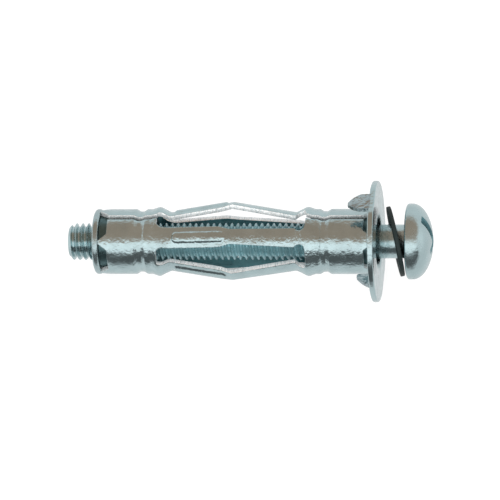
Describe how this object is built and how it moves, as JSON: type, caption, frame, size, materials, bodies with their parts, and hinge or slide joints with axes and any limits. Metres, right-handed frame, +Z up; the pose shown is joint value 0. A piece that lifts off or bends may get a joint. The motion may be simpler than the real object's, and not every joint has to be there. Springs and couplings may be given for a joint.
{
  "type": "hollow wall anchor",
  "caption": "Expanding metal anchor for hollow walls: a slotted rolled sleeve with pre-bent legs, crimped nut and clawed flange, and a pan-head machine screw with a loose washer.",
  "frame": {"origin": "on the anchor's axis, in the plane of the flange's wall face", "axes": "+X along the axis from the nut towards the screw head, +Z up through one claw with the anchor lying on its side"},
  "size_m": [0.0484, 0.016, 0.0154],
  "materials": {
    "zinc_sheet": "bright zinc plating on stamped sheet, faint bluish passivation",
    "zinc_turned": "bright zinc plating on a turned nut",
    "zinc_screw": "bright zinc plating on a cold-headed screw",
    "black_rubber": "black, satin"
  },
  "bodies": {
    "anchor": {"sleeve": "zinc_sheet", "nut": "zinc_turned", "flange": "zinc_sheet"},
    "washer": {"washer": "black_rubber"},
    "screw": {"screw": "zinc_screw"}
  },
  "joints": [
    {"name": "screw_advance", "type": "slide", "parent": "anchor", "child": "washer", "axis": [1, 0, 0], "range_m": [-0.0007, 0.0096]},
    {"name": "screw_turn", "type": "hinge", "parent": "washer", "child": "screw", "pos_m": [0, 0, 0], "axis": [1, 0, 0], "range_deg": [-317, 4322]}
  ],
  "couplings": [
    {"joint": "screw_turn", "follows": "screw_advance", "rad_per_m": 7854}
  ]
}
